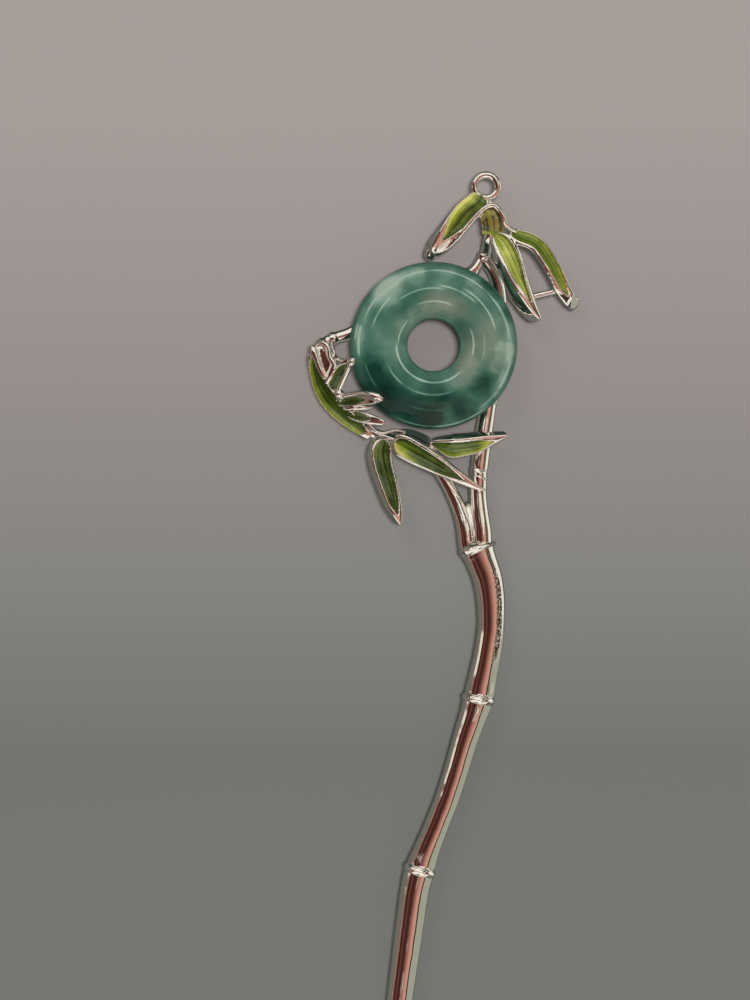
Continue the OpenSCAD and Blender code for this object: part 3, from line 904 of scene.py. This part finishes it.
# a soft step from 0 to the top, while the value goes from low to high
def addStep(nodes, links, value, low, high, top=1.0):
    step = nodes.new("ShaderNodeMapRange")
    step.interpolation_type = "SMOOTHSTEP"
    step.inputs["From Min"].default_value = low
    step.inputs["From Max"].default_value = high
    step.inputs["To Max"].default_value = top
    links.new(value, step.inputs["Value"])
    return step.outputs["Result"]


def addMix(nodes, links, factor, first, second):
    mix = nodes.new("ShaderNodeMix")
    mix.data_type = "RGBA"
    fill(links, (mix.inputs["Factor"], mix.inputs["A"], mix.inputs["B"]), (factor, first, second))
    return mix.outputs["Result"]


# bright plating over a casting: slow waves from the wax, a fine skin and, along a rough line, dark
# specks painted into the colour as a painted dark reflection
plating = {
    "bright": (0.90, 0.865, 0.82, 1),
    # the colour of the painted dark specks, a painted dark reflection
    "pit": (0.09, 0.07, 0.055, 1),
    "seam": (0.2, 0.5),  # where the line's mark lets the painted dark specks start, and has them all
    "grain": (0.36, 0.54),  # which part of the grain gets painted dark specks
}


def silverMaterial():
    material, nodes, links, shader = newMaterial("platedSilver", Metallic=1, Roughness=0.05)
    place = nodes.new("ShaderNodeTexCoord").outputs["Object"]
    wave = addNoise(nodes, links, place, Scale=160, Detail=2)["Fac"]
    skin = addNoise(nodes, links, place, Scale=2400, Detail=1)["Fac"]
    grain = addNoise(nodes, links, place, Scale=2600, Detail=2)["Fac"]
    mark = nodes.new("ShaderNodeAttribute")
    mark.attribute_name = "seam"
    line = mark.outputs["Fac"]
    slow = addBump(nodes, links, wave, Strength=0.5, Distance=0.0004)
    fine = addBump(nodes, links, skin, slow, Strength=0.12, Distance=0.00002)
    rough = addBump(nodes, links, grain, fine, Distance=0.0004)
    links.new(line, rough.node.inputs["Strength"])
    links.new(rough, shader.inputs["Normal"])
    onLine = addStep(nodes, links, line, *plating["seam"])
    speckGrain = addStep(nodes, links, grain, *plating["grain"])
    paintedSpecks = addMath(nodes, links, "MULTIPLY", onLine, speckGrain)
    # painted dark reflection: dark specks painted into the plating along the line
    metal = addMix(nodes, links, paintedSpecks, plating["bright"], plating["pit"])
    links.new(metal, shader.inputs["Base Color"])
    return material


# clear enamel over a grooved metal ground: the ground's glints are painted into the colour as light and
# dark streaks, partly the grooves' own pattern; the surface is smooth glass
enamelTints = {
    "leafEnamel": [
        (0.0, (0.006, 0.018, 0.001)),
        (0.15, (0.026, 0.055, 0.003)),
        (0.35, (0.085, 0.15, 0.010)),
        (0.55, (0.20, 0.29, 0.018)),
        (0.78, (0.48, 0.55, 0.06)),
        (1.0, (0.82, 0.82, 0.22)),
    ],
    "knotEnamel": [
        (0.0, (0.004, 0.010, 0.001)),
        (0.3, (0.020, 0.040, 0.004)),
        (0.46, (0.10, 0.095, 0.018)),
        (0.62, (0.42, 0.29, 0.10)),
        (0.80, (0.28, 0.34, 0.03)),
        (1.0, (0.50, 0.62, 0.08)),
    ],
}
enamelClouds = {"leafEnamel": (500, 0.5), "knotEnamel": (900, 1.1)}  # how fine and how strong
# two sets of streaks along the leaf, painted glints of the grooved ground: how often across, along and
# through, and how strong
glintStreaks = [((6, 0.8, 1), 1.05), ((22, 1.1, 1), 0.9)]


def enamelMaterial(name):
    material, nodes, links, shader = newMaterial(
        name, Metallic=0.5, Roughness=0.2, Coat_Weight=1, Coat_Roughness=0.02
    )
    chart = nodes.new("ShaderNodeUVMap")
    chart.uv_map = "leafMap"
    # the enamel's own tone together with painted light: lighter and darker sides of the fold and
    # painted highlights
    toneAndLight = nodes.new("ShaderNodeAttribute")
    toneAndLight.attribute_name = "leafToneAndLight"
    depth = toneAndLight.outputs["Fac"]

    def vary(base, noise, strength):
        change = addMath(nodes, links, "SUBTRACT", noise, 0.5)
        change = addMath(nodes, links, "MULTIPLY", change, strength)
        return addMath(nodes, links, "ADD", base, change)

    for spread, strength in glintStreaks:
        along = addNode(nodes, "Mapping", Scale=spread)
        links.new(chart.outputs["UV"], along.inputs["Vector"])
        way = along.outputs["Vector"]
        streak = addNoise(nodes, links, way, Scale=1.7, Detail=3, Roughness=0.6, Distortion=0.2)["Fac"]
        # painted glints: the streaks lighten and darken the enamel's colour
        depth = vary(depth, streak, strength)
    place = nodes.new("ShaderNodeTexCoord").outputs["Object"]
    size, strength = enamelClouds[name]
    depth = vary(depth, addNoise(nodes, links, place, Scale=size, Detail=3)["Fac"], strength)
    tint = addRamp(nodes, enamelTints[name])
    links.new(depth, tint.inputs["Fac"])
    links.new(tint.outputs["Color"], shader.inputs["Base Color"])
    groove = addBump(nodes, links, streak, Strength=0.8, Distance=0.0001)
    links.new(groove, shader.inputs["Normal"])
    return material


# clouds in the stone: millimetres from the disc's centre, reach, how dark or, below 0, how milky, and
# how beige
jadeClouds = [
    [-10.2, -6.2, 4.6, 1.1, 0],
    [-6.2, -9.0, 4.8, 1.0, 0],
    [-0.5, -9.6, 4.4, 0.75, 0],
    [-7.6, -11.2, 3.6, 0.8, 0],
    [-2.0, -12.8, 4.0, 0.8, 0],
    [3.6, -9.2, 3.4, 0.6, 0],
    [0.8, -11.6, 2.6, 0.1, 0.4],
    [5.6, -11.4, 3.2, 0.7, 0.1],
    [0.5, -13.0, 2.4, 0.6, 0.1],
    [8.4, -6.5, 2.9, 0.8, 0],
    [11.4, -6.6, 2.2, -0.3, 0.1],
    [9.6, 10.0, 2.6, 0.9, 0],
    [12.6, 6.0, 2.6, 1.0, 0],
    [5.6, 12.6, 2.4, 0.5, 0],
    [0.8, 13.2, 3.0, 0.5, 0],
    [-3.6, 8.4, 2.9, 0.1, 0],
    [-3.0, 5.4, 2.3, -0.3, 0.2],
    [-6.2, 6.4, 2.6, 0.4, 0],
    [4.9, 1.9, 3.0, 0.3, 0],
    [-4.4, 3.4, 2.8, -0.45, 0.3],
    [-5.5, -1.0, 2.9, -0.45, 0.1],
    [4.8, -2.8, 2.8, -0.3, 0.5],
    [-7.8, 9.2, 4.0, -1.2, 0.2],
    [-12.6, 1.0, 2.6, -0.4, 0],
    [-3.4, 11.6, 2.4, -0.5, 0],
    [2.0, 10.8, 3.2, -0.5, 0],
    [7.4, 8.6, 2.6, -0.4, 0.2],
    [0.2, 6.8, 3.4, -0.4, 0.8],
    [3.8, 6.2, 3.0, -0.3, 0.7],
    [8.0, 1.0, 5.4, -0.5, 0.7],
    [5.4, -4.6, 3.4, -0.4, 0.5],
    [12.6, -1.0, 2.8, -0.7, 0.3],
    [10.8, -3.4, 2.0, -0.4, 0.4],
    [-8.5, 0.6, 3.4, -0.2, 0],
    [2.6, -6.6, 2.0, -0.3, 0],
]

# painted highlights: light arcs painted into the stone's colour where its turned edges reflect the
# room: radius, the angle of the arc's middle and how far it goes to each side in degrees, half its
# width, and strength
jadeHighlightArcs = [
    [12.3, 124, 40, 0.25, 0.40],
    [12.4, 58, 44, 0.25, 0.36],
    [12.6, 20, 18, 0.25, 0.28],
    [9.35, 104, 28, 0.22, 0.34],
    [9.8, 64, 24, 0.22, 0.38],
    [10.5, 38, 28, 0.24, 0.38],
    [7.2, 88, 30, 0.28, 0.26],
    [10.6, 148, 18, 0.20, 0.36],
    [12.7, -10, 34, 0.95, 0.26],
    [12.5, 120, 110, 1.30, 0.17],
    [13.0, -34, 24, 0.35, 0.30],
    [13.5, -84, 42, 0.20, 0.50],
    [8.35, -112, 50, 0.26, 0.46],
    [6.2, -140, 50, 0.26, 0.48],
    [6.3, -80, 42, 0.26, 0.40],
    [5.9, 158, 24, 0.20, 0.34],
    [6.6, 4, 24, 0.24, 0.34],
    [13.1, 170, 7, 0.18, 0.40],
    [12.5, 177, 14, 0.35, 0.44],
    [11.8, -154, 14, 0.25, 0.20],
    [10.9, -98, 18, 0.25, 0.26],
    [8.4, -4, 18, 0.30, 0.14],
    [4.75, 0, 181, 0.12, 0.16],
]


jadeTints = {
    "green": [
        (0.0, (0.003, 0.022, 0.015)),
        (0.25, (0.007, 0.048, 0.033)),
        (0.45, (0.032, 0.122, 0.084)),
        (0.65, (0.088, 0.205, 0.152)),
        (0.85, (0.200, 0.350, 0.268)),
        (1.0, (0.38, 0.51, 0.41)),
    ],
    "beige": [
        (0.2, (0.040, 0.050, 0.032)),
        (0.5, (0.150, 0.155, 0.110)),
        (0.8, (0.300, 0.290, 0.215)),
        (1.0, (0.45, 0.46, 0.36)),
    ],
}

jadeLook = {
    "warp": 6.0,  # how far the clouds' edges wander, in millimetres
    "face": 2.0,  # height of the clouds above the disc's middle
    "ground": 0.32,  # the stone's tone
    "wisps": 0.45,  # what its wisps add
    "dark": 0.32,  # what a cloud takes
    "core": 0.3,  # where a cloud is full and where it ends, as shares of its reach
    "edge": 1.1,
    "warmWisps": 0.1,  # how beige the wisps are
    "beige": 0.6,  # how much all the beige counts
    "broken": (0.1, 0.5),  # noise under which a painted highlight arc is broken, and over which it is whole
    "arcCore": 0.2,  # where a painted highlight arc is full, as a share of its half width
}


def jadeMaterial():
    material, nodes, links, shader = newMaterial(
        "jadeStone",
        Roughness=0.3,
        Subsurface_Weight=0.25,
        Subsurface_Radius=(0.5, 1.0, 0.8),
        Subsurface_Scale=0.0005,
        Specular_IOR_Level=0.12,
        Coat_Weight=0.25,
        Coat_Roughness=0.03,
    )

    def combine(operation, first, second=None):
        return addMath(nodes, links, operation, first, second)

    def ease(value, low, high, top=1.0):
        return addStep(nodes, links, value, low, high, top)

    place = nodes.new("ShaderNodeTexCoord").outputs["Object"]
    warp = addNoise(nodes, links, place, Scale=180, Detail=3)["Color"]
    wander = jadeLook["warp"] * mm
    shifted = addVector(nodes, links, "MULTIPLY_ADD", warp, (wander, wander, 0), place)["Vector"]
    wisps = addNoise(nodes, links, place, Scale=170, Detail=5, Roughness=0.6, Distortion=0.6)["Fac"]
    total = combine("ADD", combine("MULTIPLY", wisps, jadeLook["wisps"]), jadeLook["ground"])
    warmth = combine("MULTIPLY", wisps, jadeLook["warmWisps"])
    drift = jadeLook["warp"] / 2  # the warp moves the stone by this much on average
    for x, y, reach, dark, beige in jadeClouds:
        heart = discMiddle + Vector((x + drift, y + drift, jadeLook["face"])) * mm
        away = addVector(nodes, links, "DISTANCE", shifted, heart)["Value"]
        near = ease(away, reach * jadeLook["edge"] * mm, reach * jadeLook["core"] * mm)
        total = combine("ADD", total, combine("MULTIPLY", near, -jadeLook["dark"] * dark))
        if beige:
            warmth = combine("ADD", warmth, combine("MULTIPLY", near, beige))
    offset = (-discMiddle.x, -discMiddle.y, 0)
    fromAxis = addVector(nodes, links, "MULTIPLY_ADD", place, (1, 1, 0), offset)["Vector"]
    radius = addVector(nodes, links, "LENGTH", fromAxis)["Value"]
    flat = nodes.new("ShaderNodeSeparateXYZ")
    links.new(fromAxis, flat.inputs["Vector"])
    bearing = combine("ARCTAN2", flat.outputs["Y"], flat.outputs["X"])
    patchy = addNoise(nodes, links, place, Scale=260, Detail=2)["Fac"]
    broken = ease(patchy, *jadeLook["broken"])
    # painted highlights: light arcs added to the stone's colour
    for reach, aim, spread, half, strength in jadeHighlightArcs:
        turned = combine("COSINE", combine("SUBTRACT", bearing, math.radians(aim)))
        arcEnd, arcFull = (math.cos(math.radians(angle)) for angle in (min(spread, 180), spread / 2))
        within = ease(turned, arcEnd, arcFull)
        off = combine("ABSOLUTE", combine("SUBTRACT", radius, reach * mm))
        line = ease(off, half * mm, half * jadeLook["arcCore"] * mm, strength)
        total = combine("ADD", total, combine("MULTIPLY", combine("MULTIPLY", line, within), broken))
    ramps = [addRamp(nodes, jadeTints[tint]) for tint in ("green", "beige")]
    for ramp in ramps:
        links.new(total, ramp.inputs["Fac"])
    share = combine("MULTIPLY", warmth, jadeLook["beige"])
    colour = addMix(nodes, links, share, *(ramp.outputs["Color"] for ramp in ramps))
    links.new(colour, shader.inputs["Base Color"])
    return material


silver = silverMaterial()
green = enamelMaterial("leafEnamel")
golden = enamelMaterial("knotEnamel")
stone = jadeMaterial()


def dress(thing, material):
    thing.data.materials.clear()
    thing.data.materials.append(material)


metalwork = (bambooStick, rightFork, topCluster, sideCluster, bottomCluster)
for piece in metalwork + (hangingLoop,):
    dress(piece, silver)
for name, enamel in enamels.items():
    dress(enamel, golden if name == "topKnot" else green)
dress(jadeDisc, stone)

print("riding on the frame")


# topLeft lies in enamel_top_left, and so on
def enamelNode(name):
    return "enamel_" + "".join("_" + letter.lower() if letter.isupper() else letter for letter in name)


for piece in metalwork:
    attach(piece, "root")
    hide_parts("bamboo_frame")
for name, enamel in enamels.items():
    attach(enamel, "root")
    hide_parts(enamelNode(name))
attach(hangingLoop, "root")
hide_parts("hanging_loop")
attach(jadeDisc, "root")
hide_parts("jade_disc")

print("floor, light and camera")

studio = {
    "airColour": (0.21, 0.207, 0.204, 1),
    "floorSize": 3.0,
    "paintedLightLength": 0.2,  # length along the stick that the floor's painted light covers
    "cameraHeight": 0.42,
    "cameraSpot": (-9.75, -25.75, 0),
    "pictureHeight": 1000 / 6 * mm,
    "aimHeight": 5.3 * mm,
    "sensor": 36,
}

# painted light: the floor's colour along the stick, darker just below the middle and paler towards the
# loop, as light that falls off across it
floorPaintedLight = [
    (0.10, (0.215, 0.22, 0.205)),
    (0.46, (0.192, 0.205, 0.188)),
    (0.60, (0.262, 0.262, 0.245)),
    (0.80, (0.356, 0.320, 0.314)),
    (1.0, (0.432, 0.387, 0.377)),
]


def makeFloor():
    clearSelection()
    bpy.ops.mesh.primitive_plane_add(size=studio["floorSize"], location=(0, 0, 0))
    ground = bpy.context.object
    ground.name = "floor"
    material, nodes, links, shader = newMaterial("paleFloor", Roughness=0.9)
    place = nodes.new("ShaderNodeTexCoord")
    parts = nodes.new("ShaderNodeSeparateXYZ")
    links.new(place.outputs["Object"], parts.inputs["Vector"])
    # painted light: the floor's colour follows light falling off along the stick
    share = addMath(nodes, links, "MULTIPLY", parts.outputs["Y"], 1 / studio["paintedLightLength"])
    ramp = addRamp(nodes, floorPaintedLight)
    links.new(addMath(nodes, links, "ADD", share, 0.5), ramp.inputs["Fac"])
    links.new(ramp.outputs["Color"], shader.inputs["Base Color"])
    dress(ground, material)
    ground.visible_glossy = False  # the metal shows the room's own floor, below
    return ground


floor = makeFloor()


# soft lamps: they light the stone and the floor, and the metal shows only the room
def softbox(name, place, target, size, power, colour):
    clearSelection()
    bpy.ops.object.light_add(type="AREA", location=place)
    lamp = bpy.context.object
    lamp.name = name
    lamp.data.shape = "RECTANGLE"
    lamp.data.size, lamp.data.size_y = size
    lamp.data.energy = power
    lamp.data.color = colour
    lamp.rotation_euler = (Vector(target) - Vector(place)).to_track_quat("-Z", "Y").to_euler()
    lamp.visible_glossy = False


# columns: name, place, where it points, size, power, colour
lamps = [
    ("topLight", (0.08, 0.05, 1.2), (0.02, 0.05, 0), (0.2, 0.2), 8.8, (1, 0.985, 0.97)),
    ("keyLight", (-0.30, 0.42, 0.50), (0, 0.05, 0), (0.3, 0.3), 0.5, (1, 0.98, 0.95)),
]
for lamp in lamps:
    softbox(*lamp)

# what the metal shows across the stick, in degrees from straight up, left below zero
stripes = [
    (-180, (0.085, 0.088, 0.082)),
    (-150, (0.095, 0.10, 0.093)),
    (-128, (0.145, 0.148, 0.125)),
    (-98, (0.16, 0.162, 0.14)),
    (-90, (0.25, 0.20, 0.16)),
    (-85, (0.03, 0.02, 0.015)),
    (-81, (0.30, 0.21, 0.17)),
    (-64, (0.22, 0.125, 0.10)),
    (-58, (0.04, 0.01, 0.007)),
    (-50, (0.05, 0.012, 0.009)),
    (-40, (0.14, 0.052, 0.042)),
    (-30, (0.09, 0.03, 0.022)),
    (-20, (0.05, 0.016, 0.012)),
    (-6, (0.09, 0.032, 0.023)),
    (6, (0.25, 0.10, 0.078)),
    (16, (0.38, 0.175, 0.135)),
    (28, (0.58, 0.29, 0.225)),
    (46, (0.56, 0.33, 0.255)),
    (49, (0.015, 0.01, 0.01)),
    (57, (0.02, 0.015, 0.01)),
    (60, (0.50, 0.40, 0.25)),
    (63, (0.02, 0.015, 0.01)),
    (73, (0.02, 0.015, 0.01)),
    (77, (0.85, 0.80, 0.68)),
    (80, (0.03, 0.02, 0.02)),
    (85, (0.92, 0.88, 0.76)),
    (124, (0.90, 0.86, 0.76)),
    (130, (0.04, 0.04, 0.04)),
    (136, (0.12, 0.125, 0.12)),
    (160, (0.10, 0.105, 0.10)),
]

# what it shows along the stick, by height: 1 is straight up and -1 straight down
heights = [
    (-1.0, (0.05, 0.055, 0.05)),
    (-0.90, (0.05, 0.055, 0.05)),
    (-0.84, (0.16, 0.153, 0.148)),
    (-0.10, (0.20, 0.188, 0.182)),
    (-0.04, (0.015, 0.015, 0.015)),
    (0.08, (0.02, 0.02, 0.02)),
    (0.16, (0.90, 0.84, 0.74)),
    (0.80, (1.0, 0.95, 0.86)),
    (0.97, (0.95, 0.86, 0.76)),
    (1.0, (0.80, 0.62, 0.52)),
]

world = bpy.data.worlds.new("studioAir")
bpy.context.scene.world = world
world.use_nodes = True
airNodes, airLinks = world.node_tree.nodes, world.node_tree.links


def airMath(operation, first, second=None):
    return addMath(airNodes, airLinks, operation, first, second)


def airMix(factor, first, second):
    return addMix(airNodes, airLinks, factor, first, second)


def airStep(value, low, high):
    return addStep(airNodes, airLinks, value, low, high)


# patches of one colour that only the parts which bend towards them show, in degrees: across is from
# straight up, as in the stripes, and ahead is the bearing towards the loop; each runs from where the
# patch starts over where it is full to where it ends
patches = {
    "lowerRight": {
        "across": (58, 62, 144, 150),
        "ahead": (-38, -32, -14, -2),
        "colour": (0.37, 0.38, 0.31, 1),
    },
    "upperRight": {
        "across": (14, 22, 48, 54),
        "ahead": (14, 22, 70, 80),
        "colour": (0.88, 0.83, 0.73, 1),
    },
    "lowerLeft": {
        "across": (-86, -82, -62, -58),
        "ahead": (0, 6, 9, 13),
        "colour": (0.80, 0.73, 0.62, 1),
    },
}

# a pair says where a change starts and where it is complete
room = {
    "doorways": (0.47, 0.42),  # noise
    "above": (0.0, 0.15),  # height over which the doorways show
    "doorwayColour": (0.04, 0.03, 0.025, 1),
    "below": (0.05, -0.05),  # height under which the room is dim
    "far": (52, 66),  # bearings towards the loop, in degrees
    "behind": (-18, -25),
    "behindEnd": (-44, -36),
    "dim": 0.85,
    "dimColour": (0.012, 0.03, 0.025, 1),
    "lean": 0.065,  # how far behind the zenith the stick's middle looks
    "slope": 0.42,  # how much a look to the side counts against one along the stick
    "sideways": (0.11, 0.25),
}


def window(value, edges, unit):
    low, lowFull, highFull, high = (edge * unit for edge in edges)
    return airMath("MULTIPLY", airStep(value, high, highFull), airStep(value, low, lowFull))


def bearingStep(name):
    return airStep(bearing, *(math.radians(angle) for angle in room[name]))


direction = airNodes.new("ShaderNodeTexCoord").outputs["Generated"]
parts = airNodes.new("ShaderNodeSeparateXYZ")
airLinks.new(direction, parts.inputs["Vector"])
turn = airMath("DIVIDE", airMath("ARCTAN2", parts.outputs["X"], parts.outputs["Z"]), 2 * math.pi)
acrossRamp = addRamp(airNodes, [(angle / 360 + 0.5, colour) for angle, colour in stripes])
airLinks.new(airMath("ADD", turn, 0.5), acrossRamp.inputs["Fac"])
alongRamp = addRamp(airNodes, [(height / 2 + 0.5, colour) for height, colour in heights])
rise = airMath("DIVIDE", parts.outputs["Z"], 2)
airLinks.new(airMath("ADD", rise, 0.5), alongRamp.inputs["Fac"])
doorways = addNoise(airNodes, airLinks, direction, Scale=2.4, Detail=1.5)["Fac"]
dark = airStep(doorways, *room["doorways"])
dark = airMath("MULTIPLY", dark, airStep(parts.outputs["Z"], *room["above"]))
along = airMix(dark, alongRamp.outputs["Color"], room["doorwayColour"])
levelX = airMath("ABSOLUTE", parts.outputs["X"])
bearing = airMath("ARCTAN2", parts.outputs["Y"], levelX)
across = acrossRamp.outputs["Color"]
for patch in patches.values():
    sideHere = window(turn, patch["across"], 1 / 360)
    aheadHere = window(bearing, patch["ahead"], math.radians(1))
    across = airMix(airMath("MULTIPLY", sideHere, aheadHere), across, patch["colour"])
# the low part of the room is dim towards the loop and behind the point
below = airStep(parts.outputs["Z"], *room["below"])
behind = airMath("MULTIPLY", bearingStep("behind"), bearingStep("behindEnd"))
dim = airMath("MULTIPLY", below, airMath("MAXIMUM", bearingStep("far"), behind))
along = airMix(airMath("MULTIPLY", dim, room["dim"]), along, room["dimColour"])
# from straight above, the lower stick shows what lies a little behind the zenith
levelY = airMath("ABSOLUTE", airMath("ADD", parts.outputs["Y"], room["lean"]))
steep = airMath("SUBTRACT", levelY, airMath("MULTIPLY", levelX, room["slope"]))
shown = airMix(airStep(steep, *room["sideways"]), across, along)
# everything but the gloss gets plain, even light
path = airNodes.new("ShaderNodeLightPath")
air = airMix(path.outputs["Is Glossy Ray"], studio["airColour"], shown)
airLinks.new(air, airNodes["Background"].inputs["Color"])

bpy.ops.object.camera_add()
camera = bpy.context.object
camera.name = "photoCamera"
middle = spot(*studio["cameraSpot"])
camera.location = (middle.x, middle.y, studio["cameraHeight"])
camera.rotation_euler = (0, 0, 0)
camera.data.sensor_width = studio["sensor"]
away = studio["cameraHeight"] - studio["aimHeight"]
camera.data.lens = studio["sensor"] * away / studio["pictureHeight"]
camera.data.clip_start = 0.01
camera.data.clip_end = 10
bpy.context.scene.camera = camera
bpy.context.scene.view_settings.view_transform = "Standard"
